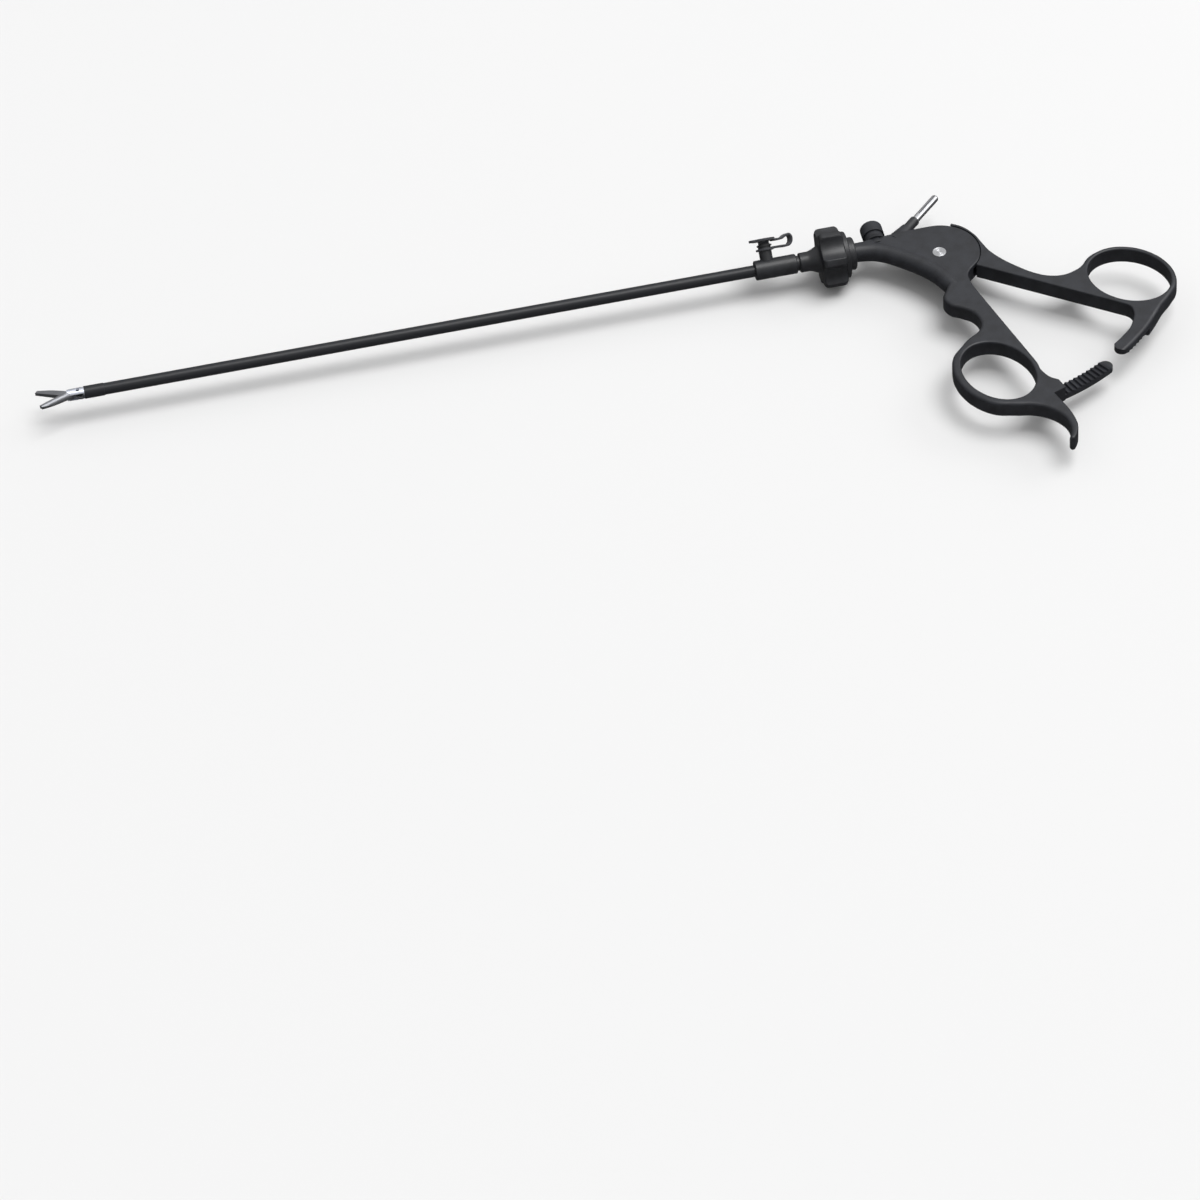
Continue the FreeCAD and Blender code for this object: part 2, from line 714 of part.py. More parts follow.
def finger_ratchet():
    """The lower ratchet arm, with saw teeth on its upper face."""
    base = -ratchet_gap / 2 - tooth_height
    tip_middle = (ratchet_inner + ratchet_outer) / 2
    edges = [pivot_arc(ratchet_inner, finger_ratchet_root - 1, finger_ratchet_tip)]
    edges.append(arc(polar(ratchet_inner, finger_ratchet_tip), polar(tip_middle, finger_ratchet_tip + 1.4),
                     polar(ratchet_outer, finger_ratchet_tip)))
    edges.append(pivot_arc(ratchet_outer, finger_ratchet_tip, finger_ratchet_root - 1))
    edges.append(Part.makeLine(polar(ratchet_outer, finger_ratchet_root - 1),
                               polar(ratchet_inner, finger_ratchet_root - 1)))
    arm = plate(edges, -half_thickness, base)
    arm = fillet_where(arm, 0.8, lambda e: abs(e.CenterOfMass.z + half_thickness) < 0.01
                       and e.Length > 7)
    teeth = [tooth(finger_ratchet_tip - index * tooth_pitch, base, tooth_height, 1 - tooth_steepness)
             for index in range(finger_teeth)]
    return arm.fuse(teeth)


def tooth(angle, base, height, crest):
    """A saw tooth across a ratchet arm, with its crest at a share of its pitch."""
    run = math.radians(tooth_pitch) * ratchet_inner + 0.05
    near = ratchet_inner + 0.1
    profile = [Vector(near, 0, base), Vector(near, -crest * run, base + height), Vector(near, -run, base)]
    solid = Part.Face(Part.makePolygon(profile + profile[:1])).extrude(
        Vector(ratchet_outer - ratchet_inner - 0.2, 0, 0))
    solid.rotate(origin, z_axis, angle)
    solid.translate(pivot)
    return solid


def contact_point(distance):
    return Vector(pivot.x - contact_setback, 0, 0) + turn(Vector(distance, 0, 0), contact_angle)


def along_contact(start, end, radius):
    return Part.makeCylinder(radius, end - start, contact_point(start), turn(x_axis, contact_angle))


def lever_space():
    """The slot in the housing for the thumb handle's tongue and the drive lever."""
    half = slot_height / 2
    fan = sector(0.5, rim_radius + 2, -46, slot_angle, -half, half)
    swing = sector(0.5, pivot_drop + ball_radius + 1.3, slot_angle - 1, 118, -half, half)
    return fan.fuse([swing, post(lever_hub_radius + 0.5, -half, half, pivot)])


def latch_space():
    half = latch_thickness / 2 + running_gap
    wide = latch_half_width + 0.15
    low = latch_centre - button_travel - 0.05
    pocket = rod_x(button_x - half, button_x + half, wide)
    pocket.translate(Vector(0, low, 0))
    upper = Part.makeBox(2 * half, latch_floor - low, 2 * wide, Vector(button_x - half, low, -wide))
    well_base = latch_top - stem_overlap - button_travel - 0.05
    well = Part.makeCylinder(latch_stem_radius + 0.1, latch_floor + 0.1 - well_base,
                             Vector(button_x, well_base, 0), y_axis)
    return pocket.cut(upper).fuse([upper, well]).removeSplitter()


def finger_handle():
    body = plate(finger_outline(), -half_thickness, half_thickness)
    body = round_outline(body, inner_edge_radius, [finger(50, finger_edge_offset)])
    body = round_outline(body, outer_edge_radius, [finger_ring_point(-90)])
    body = round_outline(body, hook_edge_radius, [finger(ratchet_outer + 11.4, 0)])
    hole = oval_hole(finger_ring_along, finger_ring_side, finger_ring_half_length,
                     finger_ring_half_width, finger_ring_tilt, finger_arm_angle)
    body = body.cut(hole)
    rim = oval_point(finger_ring_along, finger_ring_side, finger_ring_half_length,
                     finger_ring_half_width, finger_ring_tilt, finger_arm_angle, 180)
    body = round_outline(body, ring_edge_radius, [rim])
    boss = Part.makeCylinder(boss_radius, boss_height, Vector(button_x, 0, 0), y_axis)
    cone = Part.makeCone(contact_boss_root_radius, contact_boss_tip_radius, contact_boss_end - 2,
                         contact_point(2), turn(x_axis, contact_angle))
    flare = Part.makeCone(boss_radius + boss_flare, boss_radius, boss_flare_height,
                          Vector(button_x, neck_radius - 1.6, 0), y_axis)
    body = body.fuse(spine() + [boss, flare, cone, finger_ratchet()])
    bearing_radius = shank_radius + running_gap + bearing_wall
    body = body.cut(rod_x(neck_front, neck_front + bearing_length, bearing_radius))
    body = body.cut(rod_x(neck_front, shank_back + 0.3, shank_radius + running_gap))
    body = body.cut(rod_x(shank_back, pivot.x - 4, rod_radius + 0.35))
    body = body.cut(latch_space())
    body = body.cut(Part.makeCylinder(spring_radius + spring_wire + 0.3, boss_height,
                                      Vector(button_x, latch_floor, 0), y_axis))
    body = body.cut(lever_space())
    body = body.cut(along_contact(0, contact_boss_end, contact_stem_radius))
    body = body.cut(along_contact(contact_boss_end - contact_sleeve_seat, contact_boss_end + 1,
                                  contact_sleeve_radius))
    body = body.cut(post(pivot_barrel_radius, -handle_thickness, handle_thickness, pivot))
    seat = half_thickness - pivot_head_thickness + pivot_head_proud
    for low, high in ((seat, handle_thickness), (-handle_thickness, -seat)):
        body = body.cut(post(pivot_head_radius, low, high, pivot))
    return body


def neck_bearing():
    inner = shank_radius + running_gap
    return tube_x(neck_front, neck_front + bearing_length, inner + bearing_wall, inner)


# Release button

def release_button():
    base = button_top - button_height
    body = Part.makeCylinder(button_radius, button_height, Vector(button_x, base, 0), y_axis)
    body = fillet_where(body, 0.5, lambda e: abs(e.CenterOfMass.y - button_top) < 0.01)
    roof = button_top - button_roof
    body = body.cut(Part.makeCylinder(button_radius - button_wall, roof - base, Vector(button_x, base, 0),
                                      y_axis))
    return body.cut(Part.makeCylinder(latch_stem_radius, 1.0, Vector(button_x, roof, 0), y_axis))


def latch_yoke():
    half = latch_thickness / 2
    body = rod_x(button_x - half, button_x + half, latch_half_width)
    body.translate(Vector(0, latch_centre, 0))
    body = body.fuse(Part.makeBox(latch_thickness, latch_top - latch_centre, 2 * latch_half_width,
                                  Vector(button_x - half, latch_centre, -latch_half_width)))
    body = body.cut(rod_x(button_x - half, button_x + half, groove_radius + running_gap))
    release = rod_x(button_x - half, button_x + half, shank_radius + running_gap)
    release.translate(Vector(0, button_travel, 0))
    body = body.cut(release)
    stem_base = latch_top - stem_overlap
    stem_top = button_top - button_roof + 1.0
    return body.fuse(Part.makeCylinder(latch_stem_radius, stem_top - stem_base,
                                       Vector(button_x, stem_base, 0), y_axis))


def release_spring():
    start = latch_floor + spring_wire
    rise = button_top - button_roof - spring_wire - start
    points = []
    for index in range(6 * spring_turns + 1):
        angle = math.radians(60 * index)
        points.append(Vector(button_x + spring_radius * math.cos(angle),
                             start + rise * index / (6 * spring_turns), spring_radius * math.sin(angle)))
    climb = rise / (2 * math.pi * spring_turns)
    heading = unit(Vector(0, climb, spring_radius))
    path = Part.Wire(smooth(points, heading, heading))
    return path.makePipe(Part.Face(Part.Wire(Part.makeCircle(spring_wire, points[0], heading))))


# Thumb handle with its drive lever

def thumb(along, side):
    return on_arm(thumb_arm_angle, along, side)


def thumb_ring_point(angle):
    return oval_point(thumb_ring_along, thumb_ring_side, thumb_ring_half_length + thumb_ring_wall,
                      thumb_ring_half_width + thumb_ring_wall, thumb_ring_tilt, thumb_arm_angle, angle)


def thumb_outline():
    arm_way = turn(x_axis, thumb_arm_angle)
    corner_along = math.sqrt(collar_inner ** 2 - thumb_edge_offset ** 2)
    corner = thumb(corner_along, -thumb_edge_offset)
    corner_angle = thumb_arm_angle - math.degrees(math.asin(thumb_edge_offset / collar_inner))
    outer = [polar(collar_outer, collar_angle), polar(collar_outer - 0.1, 45)]
    outer += [polar(collar_outer - 0.5, 24), polar(collar_outer - 0.3, 6), polar(collar_outer + 1.5, -9)]
    ring_start = thumb_ring_along - thumb_ring_half_length - thumb_ring_wall
    outer += [thumb(22.4, 7.8), thumb(27.4, 6.0), thumb(34.5, 4.3), thumb(ring_start - 17.3, 3.3)]
    outer += [thumb(ring_start - 11.1, 3.7), thumb(ring_start - 5.5, 6.2), thumb(ring_start - 1.4, 11.4)]
    outer += [thumb_ring_point(170 - 25 * index) for index in range(7)]
    outer.append(thumb_ring_point(-2))
    join = -35.5
    outer.append(polar(ratchet_outer, join))
    edges = smooth(outer, turn(x_axis, collar_angle - 90), turn(x_axis, join - 90))
    tip_middle = (ratchet_inner + ratchet_outer) / 2
    edges.append(pivot_arc(ratchet_outer, join, thumb_ratchet_tip + 0.8))
    edges.append(arc(polar(ratchet_outer, thumb_ratchet_tip + 0.8), polar(tip_middle, thumb_ratchet_tip - 0.6),
                     polar(ratchet_inner, thumb_ratchet_tip + 0.8)))
    edges.append(pivot_arc(ratchet_inner, thumb_ratchet_tip + 0.8, -46.5))
    web = [(-1.6, -10.3), (-3.3, -4.8), (-5.4, -2.4), (-9.0, -thumb_edge_offset)]
    web = [polar(ratchet_inner, -46.5)] + [thumb(ratchet_inner + beyond, side) for beyond, side in web]
    edges += smooth(web, turn(x_axis, 43.5), turn(x_axis, thumb_arm_angle + 180))
    edges.append(Part.makeLine(web[-1], corner))
    edges.append(pivot_arc(collar_inner, corner_angle, collar_angle))
    edges.append(Part.makeLine(polar(collar_inner, collar_angle), polar(collar_outer, collar_angle)))
    return edges


def thumb_handle():
    body = plate(thumb_outline(), -half_thickness, half_thickness)
    body = round_outline(body, inner_edge_radius, [thumb(50, -thumb_edge_offset)])
    body = round_outline(body, outer_edge_radius, [thumb_ring_point(90)])
    hole = oval_hole(thumb_ring_along, thumb_ring_side, thumb_ring_half_length,
                     thumb_ring_half_width, thumb_ring_tilt, thumb_arm_angle)
    body = body.cut(hole)
    rim = oval_point(thumb_ring_along, thumb_ring_side, thumb_ring_half_length,
                     thumb_ring_half_width, thumb_ring_tilt, thumb_arm_angle, 180)
    body = round_outline(body, ring_edge_radius, [rim])
    # The ratchet arm fills the upper half of the thickness only, and passes over the lower one.
    base = ratchet_gap / 2 + tooth_height
    step = finger_ratchet_tip + handle_travel + 2.0
    body = body.cut(sector(ratchet_inner - 3, ratchet_outer + 4, -60, step, -handle_thickness, base))
    teeth = [tooth(thumb_ratchet_tip + 0.8 + (index + 1) * tooth_pitch, base, -tooth_height, tooth_steepness)
             for index in range(thumb_teeth - 1)]
    body = body.fuse(teeth)
    half = lever_thickness / 2
    tongue = sector(lever_hub_radius, collar_inner + 0.5, -29, 52, -half, half)
    return body.fuse(tongue)


def drive_lever():
    """The steel lever: a hub on the pivot, and a forked end that holds the rod's ball."""
    half = lever_thickness / 2
    reach = pivot_drop + ball_radius + 0.9
    wide = ball_radius + running_gap + prong_width
    hub = post(lever_hub_radius, -half, half, pivot)
    arm = Part.makeBox(reach, 2 * wide, lever_thickness, Vector(0, -wide, -half))
    arm.rotate(origin, z_axis, lever_rest_angle)
    arm.translate(pivot)
    body = hub.fuse(arm)
    seat = ball_radius + running_gap
    slot = Part.makeBox(reach, 2 * seat, 4 * seat, Vector(pivot_drop - 1.9, -seat, -2 * seat))
    slot.rotate(origin, z_axis, lever_rest_angle)
    slot.translate(pivot)
    neck_slit = Part.makeBox(reach, wide + 1, 2 * (rod_radius + 0.2),
                             Vector(pivot_drop - 2.6, 0, -rod_radius - 0.2))
    neck_slit.rotate(origin, z_axis, lever_rest_angle)
    neck_slit.translate(pivot)
    body = body.cut(slot.fuse(neck_slit))
    return body.cut(post(pivot_barrel_radius + running_gap, -handle_thickness, handle_thickness, pivot))


# Pivot joint

def pivot_screw():
    seat = half_thickness - pivot_head_thickness + pivot_head_proud
    head = post(pivot_head_radius, seat, half_thickness + pivot_head_proud, pivot)
    return head.fuse(post(pivot_screw_radius, -seat + 0.3, seat, pivot))


def pivot_nut():
    seat = half_thickness - pivot_head_thickness + pivot_head_proud
    head = post(pivot_head_radius, -half_thickness - pivot_head_proud, -seat, pivot)
    barrel = head.fuse(post(pivot_barrel_radius, -seat, seat, pivot))
    return barrel.cut(post(pivot_screw_radius, -seat + 0.3, seat + 1, pivot))


# High-frequency contact

def contact_sleeve():
    seat = contact_boss_end - contact_sleeve_seat
    body = along_contact(seat, contact_sleeve_end, contact_sleeve_radius)
    body = body.cut(along_contact(seat + 1.2, contact_sleeve_end, contact_neck_radius))
    return body.cut(along_contact(seat, contact_sleeve_end, contact_stem_radius))


def contact_pin():
    seat = contact_boss_end - contact_sleeve_seat
    body = along_contact(contact_sleeve_end, contact_pin_end, contact_pin_radius)
    body = body.fuse(along_contact(seat + 1.2, contact_sleeve_end, contact_neck_radius))
    tip = contact_point(contact_pin_end)
    body = fillet_where(body, contact_pin_radius * 0.8, lambda e: (e.CenterOfMass - tip).Length < 0.1)
    body = body.fuse(along_contact(4.2, seat + 1.2, contact_stem_radius))
    slot = Part.makeBox(contact_slot_length, contact_slot_width, 4 * contact_pin_radius,
                        Vector(contact_pin_end - contact_slot_length, -contact_slot_width / 2,
                               -2 * contact_pin_radius))
    slot.rotate(origin, z_axis, contact_angle)
    slot.translate(contact_point(0))
    return body.cut(slot)


def contact_brush():
    body = along_contact(0.6, 4.2, contact_stem_radius)
    return body.cut(rod_x(0, pivot.x, rod_radius + running_gap))


nodes = {
    "insulation_sleeve": insulation_sleeve(), "sheath_tube": sheath_tube(),
    "sheath_tip_collar": sheath_tip_collar(), "insert_tube": insert_tube(), "jaw_clevis": jaw_clevis(),
    "jaw_pin": jaw_pin(), "blade_near": blade(near_blade_length, False), "blade_far": blade(blade_length, True), "pull_rod": pull_rod(),
    "drive_pin": drive_pin(), "luer_hub": luer_hub(), "hub_seal": hub_seal(), "hub_spigot": hub_spigot(),
    "luer_port": luer_port(), "port_cap": port_cap(), "cap_strap": cap_strap(),
    "rotation_wheel": rotation_wheel(), "wheel_back_plate": wheel_back_plate(),
    "retaining_collar": retaining_collar(), "coupling_shank": coupling_shank(), "rod_seal": rod_seal(),
    "finger_handle": finger_handle(), "neck_bearing": neck_bearing(), "release_button": release_button(),
    "latch_yoke": latch_yoke(), "release_spring": release_spring(), "thumb_handle": thumb_handle(),
    "drive_lever": drive_lever(), "pivot_screw": pivot_screw(), "pivot_nut": pivot_nut(),
    "contact_sleeve": contact_sleeve(), "contact_pin": contact_pin(), "contact_brush": contact_brush(),
}

os.makedirs("parts", exist_ok=True)
for name, shape in nodes.items():
    shape.exportStep("parts/" + name + ".step")
    box = shape.BoundBox
    print(name, len(shape.Solids), "solids, valid", shape.isValid(), "volume", round(shape.Volume, 1),
          "box", [round(v, 1) for v in (box.XMin, box.XMax, box.YMin, box.YMax, box.ZMin, box.ZMax)])
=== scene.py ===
import bpy
import bmesh
from math import cos, pi, radians, sin
from mathutils import Matrix, Vector


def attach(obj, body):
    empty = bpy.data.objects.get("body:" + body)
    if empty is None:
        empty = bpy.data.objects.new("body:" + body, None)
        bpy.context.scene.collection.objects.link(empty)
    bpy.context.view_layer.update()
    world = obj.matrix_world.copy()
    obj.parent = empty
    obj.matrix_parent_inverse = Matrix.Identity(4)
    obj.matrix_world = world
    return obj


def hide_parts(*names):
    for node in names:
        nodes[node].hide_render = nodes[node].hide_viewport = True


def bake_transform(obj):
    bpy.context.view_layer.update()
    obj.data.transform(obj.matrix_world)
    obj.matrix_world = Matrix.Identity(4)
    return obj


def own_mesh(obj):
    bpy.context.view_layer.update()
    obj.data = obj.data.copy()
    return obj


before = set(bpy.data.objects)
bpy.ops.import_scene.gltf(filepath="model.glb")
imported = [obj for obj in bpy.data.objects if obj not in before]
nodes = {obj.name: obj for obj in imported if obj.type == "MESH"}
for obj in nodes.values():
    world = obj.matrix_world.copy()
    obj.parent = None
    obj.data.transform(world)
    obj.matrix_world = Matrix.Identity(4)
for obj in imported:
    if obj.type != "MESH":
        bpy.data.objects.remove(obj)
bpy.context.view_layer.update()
mm = 0.001  # the frame is in metres, sizes here are written in millimetres
weld = 0.001 * mm  # corners nearer than this are one corner

for thing in [o for o in bpy.data.objects if o.type in {"LIGHT", "CAMERA"}]:
    bpy.data.objects.remove(thing)


# materials

def toLinear(hexColour):
    channels = [int(hexColour[i:i + 2], 16) / 255 for i in (1, 3, 5)]
    return [c / 12.92 if c <= 0.04045 else ((c + 0.055) / 1.055) ** 2.4 for c in channels] + [1.0]


def addNode(tree, kind, settings=None, links=None):
    # one node, with its plain settings, its socket values and what feeds its sockets
    node = tree.nodes.new(kind)
    for key, value in (settings or {}).items():
        if key in node.inputs:
            node.inputs[key].default_value = value
        else:
            setattr(node, key, value)
    for key, source in (links or {}).items():
        tree.links.new(source, node.inputs[key])
    return node


def startMaterial(name):
    material = bpy.data.materials.new(name)
    material.use_nodes = True
    tree = material.node_tree
    tree.nodes.clear()
    place = addNode(tree, "ShaderNodeTexCoord").outputs["Object"]
    return material, tree, place


def closeMaterial(tree, shader):
    addNode(tree, "ShaderNodeOutputMaterial", links={"Surface": shader.outputs["BSDF"]})


def perMillimetre(size):
    # a pattern scale at which one grain is about this many millimetres wide
    return 1 / (size * mm)


def noiseOf(tree, way, width, detail, rough=0.5):
    settings = {"Scale": perMillimetre(width), "Detail": detail, "Roughness": rough}
    return addNode(tree, "ShaderNodeTexNoise", settings, {"Vector": way}).outputs["Fac"]


def stretchedPlace(tree, place, stretch, turn=0.0):
    # object coordinates that draw a pattern out along X, turned in the handle's plane
    along = addNode(tree, "ShaderNodeMapping", links={"Vector": place})
    along.inputs["Rotation"].default_value = (0, 0, turn)
    along.inputs["Scale"].default_value = (stretch, 1.0, 1.0)
    return along.outputs["Vector"]


def rangeOf(tree, source, wanted, taken=(0.0, 1.0)):
    # a pattern's values from the taken range, brought to the wanted one
    settings = {"From Min": taken[0], "From Max": taken[1], "To Min": wanted[0], "To Max": wanted[1]}
    return addNode(tree, "ShaderNodeMapRange", settings, {"Value": source}).outputs["Result"]


def toneOf(tree, finish, share):
    # between the finish's dark and light tone
    tone = addNode(tree, "ShaderNodeMix", {"data_type": "RGBA"}, {"Factor": share})
    tone.inputs["A"].default_value = toLinear(finish["dark"])
    tone.inputs["B"].default_value = toLinear(finish["light"])
    return tone.outputs["Result"]


def bumpOf(tree, finish, height):
    strength, depth = finish["bump"]
    settings = {"Strength": strength, "Distance": depth * mm}
    return addNode(tree, "ShaderNodeBump", settings, {"Height": height}).outputs["Normal"]


def mouldedPlastic(name, finish):
    # glass-filled PEEK from a spark-eroded mould: an even black with a fine matte tooth,
    # and slow, faint differences in gloss where the melt flowed
    material, tree, place = startMaterial(name)
    grain = noiseOf(tree, place, finish["grainWidth"], detail=3.0, rough=0.6)
    flow = noiseOf(tree, place, finish["flowWidth"], detail=2.0)
    speck = rangeOf(tree, grain, (0.0, 1.0), taken=(0.3, 0.7))
    drift = rangeOf(tree, flow, (0.0, 1.0), taken=(0.35, 0.65))
    share = addNode(tree, "ShaderNodeMix", {"Factor": 0.5}, {"A": speck, "B": drift}).outputs["Result"]
    shader = addNode(tree, "ShaderNodeBsdfPrincipled", {"IOR": 1.52},
                     {"Base Color": toneOf(tree, finish, share),
                      "Roughness": rangeOf(tree, share, finish["roughness"]),
                      "Normal": bumpOf(tree, finish, grain)})
    closeMaterial(tree, shader)
    return material


def shaftInsulation(name, finish):
    # extruded fluoropolymer sleeve: smoother than the mouldings, with faint draw lines along the shaft
    material, tree, place = startMaterial(name)
    lines = noiseOf(tree, stretchedPlace(tree, place, finish["lineStretch"]), finish["lineWidth"], detail=2.0)
    shader = addNode(tree, "ShaderNodeBsdfPrincipled", {"IOR": 1.4},
                     {"Base Color": toneOf(tree, finish, lines),
                      "Roughness": rangeOf(tree, lines, finish["roughness"]),
                      "Normal": bumpOf(tree, finish, lines)})
    closeMaterial(tree, shader)
    return material


def softRubber(name, finish):
    # soft moulded rubber with a dusty bloom: a light sheen at grazing angles and a slightly cloudy tone
    material, tree, place = startMaterial(name)
    cloud = noiseOf(tree, place, finish["cloudWidth"], detail=4.0)
    shader = addNode(tree, "ShaderNodeBsdfPrincipled",
                     {"IOR": 1.41, "Roughness": finish["roughness"], "Sheen Weight": finish["sheen"],
                      "Sheen Roughness": 0.5},
                     {"Base Color": toneOf(tree, finish, cloud), "Normal": bumpOf(tree, finish, cloud)})
    closeMaterial(tree, shader)
    return material


def groundSteel(name, finish):
    # stainless steel ground lengthwise: streaks of gloss that stretch with the grinding
    material, tree, place = startMaterial(name)
    grain = noiseOf(tree, stretchedPlace(tree, place, finish["grainStretch"]), finish["grainWidth"], detail=3.0)
    shader = addNode(tree, "ShaderNodeBsdfPrincipled",
                     {"Metallic": finish["metallic"], "Anisotropic": finish["anisotropy"]},
                     {"Base Color": toneOf(tree, finish, grain),
                      "Roughness": rangeOf(tree, grain, finish["roughness"]),
                      "Normal": bumpOf(tree, finish, grain)})
    closeMaterial(tree, shader)
    return material


def turnedSteel(name, finish):
    # a faced screw head: rings from the lathe tool, which draw the light out into two bright fans
    material, tree, place = startMaterial(name)
    corners = [v.co for v in nodes[finish["on"]].data.vertices]
    centre = [(min(c[i] for c in corners) + max(c[i] for c in corners)) / 2 for i in (0, 1)]
    onAxis = addNode(tree, "ShaderNodeMapping", links={"Vector": place})
    onAxis.inputs["Location"].default_value = (-centre[0], -centre[1], 0)
    ringScale = perMillimetre(finish["ringPitch"]) * 2 * pi / 20  # the node draws 20 / (2 pi) rings per unit
    rings = addNode(tree, "ShaderNodeTexWave",
                    {"wave_type": "RINGS", "rings_direction": "Z", "Scale": ringScale, "Distortion": 0.0},
                    {"Vector": onAxis.outputs["Vector"]}).outputs["Fac"]
    around = addNode(tree, "ShaderNodeTangent", {"direction_type": "RADIAL", "axis": "Z"})
    shader = addNode(tree, "ShaderNodeBsdfPrincipled",
                     {"Metallic": 1.0, "Anisotropic": finish["anisotropy"], "Anisotropic Rotation": 0.25,
                      "Base Color": toLinear(finish["colour"])},
                     {"Roughness": rangeOf(tree, rings, finish["roughness"]),
                      "Tangent": around.outputs["Tangent"], "Normal": bumpOf(tree, finish, rings)})
    closeMaterial(tree, shader)
    return material


def plainMetal(name, finish):
    # polished or plated metal with a very faint unevenness from handling
    material, tree, place = startMaterial(name)
    haze = noiseOf(tree, place, finish["hazeWidth"], detail=4.0)
    shader = addNode(tree, "ShaderNodeBsdfPrincipled",
                     {"Metallic": 1.0, "Base Color": toLinear(finish["colour"])},
                     {"Roughness": rangeOf(tree, haze, finish["roughness"])})
    closeMaterial(tree, shader)
    return material


# widths, pitches and bump depths are in millimetres, roughness runs from the glossier to the duller spots
handlePlastic = {"dark": "#1d1e22", "light": "#2b2d33", "roughness": (0.39, 0.51), "bump": (0.3, 0.03),
                 "grainWidth": 0.6, "flowWidth": 5.0}  # real grain is near 0.05, drawn coarser so that it shows
wheelPlastic = {"dark": "#1f2022", "light": "#2d2e32", "roughness": (0.35, 0.45), "bump": (0.2, 0.02),
                "grainWidth": 0.5, "flowWidth": 4.0}  # also drawn coarser
bearingNylon = {"dark": "#c9c6bb", "light": "#d8d5cb", "roughness": (0.46, 0.54), "bump": (0.1, 0.01),
                "grainWidth": 0.4, "flowWidth": 5.0}
sleevePlastic = {"dark": "#202124", "light": "#2b2c30", "roughness": (0.31, 0.42), "bump": (0.12, 0.01),
                 "lineWidth": 0.4, "lineStretch": 0.04}
capSilicone = {"dark": "#343539", "light": "#404146", "roughness": 0.62, "bump": (0.15, 0.02),
               "cloudWidth": 1.2, "sheen": 0.15}
sealRubber = {"dark": "#161617", "light": "#1e1e20", "roughness": 0.7, "bump": (0.15, 0.02),
              "cloudWidth": 0.8, "sheen": 0.05}
clevisSteel = {"dark": "#c3c7d2", "light": "#e2e6f0", "roughness": (0.32, 0.46), "bump": (0.2, 0.01),
               "grainWidth": 0.12, "grainStretch": 0.12, "metallic": 0.8, "anisotropy": 0.3}
bladeSteel = {"dark": "#6d6e71", "light": "#94959a", "roughness": (0.34, 0.48), "bump": (0.3, 0.01),
              "grainWidth": 0.14, "grainStretch": 0.06, "metallic": 0.85, "anisotropy": 0.4}
pivotSteel = {"colour": "#dadbde", "roughness": (0.26, 0.36), "bump": (0.08, 0.01), "anisotropy": 0.9,
              "ringPitch": 1.885, "on": "pivot_screw"}  # real rings lie near 0.1 apart, drawn coarser
pinChrome = {"colour": "#e3e4e8", "roughness": (0.112, 0.224), "hazeWidth": 3.0}
innerSteel = {"colour": "#b4b6ba", "roughness": (0.175, 0.35), "hazeWidth": 2.0}
brushBrass = {"colour": "#c9a75b", "roughness": (0.21, 0.42), "hazeWidth": 1.0}

finishes = {
    "matteBlackPeek": mouldedPlastic("matteBlackPeek", handlePlastic),
    "satinBlackPeek": mouldedPlastic("satinBlackPeek", wheelPlastic),
    "blackFluoropolymer": shaftInsulation("blackFluoropolymer", sleevePlastic),
    "greySilicone": softRubber("greySilicone", capSilicone),
    "groundStainlessSteel": groundSteel("groundStainlessSteel", clevisSteel),
    "hardenedBladeSteel": groundSteel("hardenedBladeSteel", bladeSteel),
    "turnedStainlessSteel": turnedSteel("turnedStainlessSteel", pivotSteel),
    "polishedChrome": plainMetal("polishedChrome", pinChrome),
    "drawnStainlessSteel": plainMetal("drawnStainlessSteel", innerSteel),
    "brass": plainMetal("brass", brushBrass),
    "blackSealRubber": softRubber("blackSealRubber", sealRubber),
    "naturalNylon": mouldedPlastic("naturalNylon", bearingNylon),
}
print("materials made:", len(finishes))

# every other CAD piece is drawn steel
finishOf = {
    "finger_handle": "matteBlackPeek", "thumb_handle": "matteBlackPeek", "release_button": "matteBlackPeek",
    "contact_sleeve": "satinBlackPeek", "rotation_wheel": "satinBlackPeek",
    "wheel_back_plate": "satinBlackPeek", "retaining_collar": "satinBlackPeek",
    # painted shade: the hub spigot gets black plastic so that the narrow gap where it shows stays dark, rather
    # than its own metal finish
    "luer_hub": "satinBlackPeek", "luer_port": "satinBlackPeek", "hub_spigot": "satinBlackPeek",
    "insulation_sleeve": "blackFluoropolymer", "sheath_tip_collar": "blackFluoropolymer",
    "port_cap": "greySilicone", "cap_strap": "greySilicone",
    "jaw_clevis": "groundStainlessSteel", "jaw_pin": "groundStainlessSteel",
    "blade_near": "hardenedBladeSteel", "blade_far": "hardenedBladeSteel",
    "pivot_screw": "turnedStainlessSteel", "pivot_nut": "turnedStainlessSteel",
    "contact_pin": "polishedChrome", "contact_brush": "brass", "hub_seal": "blackSealRubber",
    "rod_seal": "blackSealRubber", "neck_bearing": "naturalNylon",
}
for name, piece in nodes.items():
    piece.data.materials.clear()
    piece.data.materials.append(finishes[finishOf.get(name, "drawnStainlessSteel")])
print("CAD pieces dressed:", len(nodes))


# what the new pieces are made with

def turnOutward(shape):
    # one closed shell, or several that lie apart, with every face outward
    bmesh.ops.recalc_face_normals(shape, faces=shape.faces)
    if shape.calc_volume(signed=True) < 0:
        bmesh.ops.reverse_faces(shape, faces=shape.faces)


def plainObject(shape, name):
    mesh = bpy.data.meshes.new(name)
    shape.to_mesh(mesh)
    shape.free()
    holder = bpy.data.objects.new(name, mesh)
    bpy.context.collection.objects.link(holder)
    return holder


def finishPiece(shape, name, finish, smoothAngle=40):
    # write a bmesh to a piece at the origin, with soft shading up to an angle
    for face in shape.faces:
        face.smooth = True
    for edge in sharpEdges(shape, smoothAngle):
        edge.smooth = False
    piece = plainObject(shape, name)
    piece.data.materials.append(finishes[finish])
    return piece


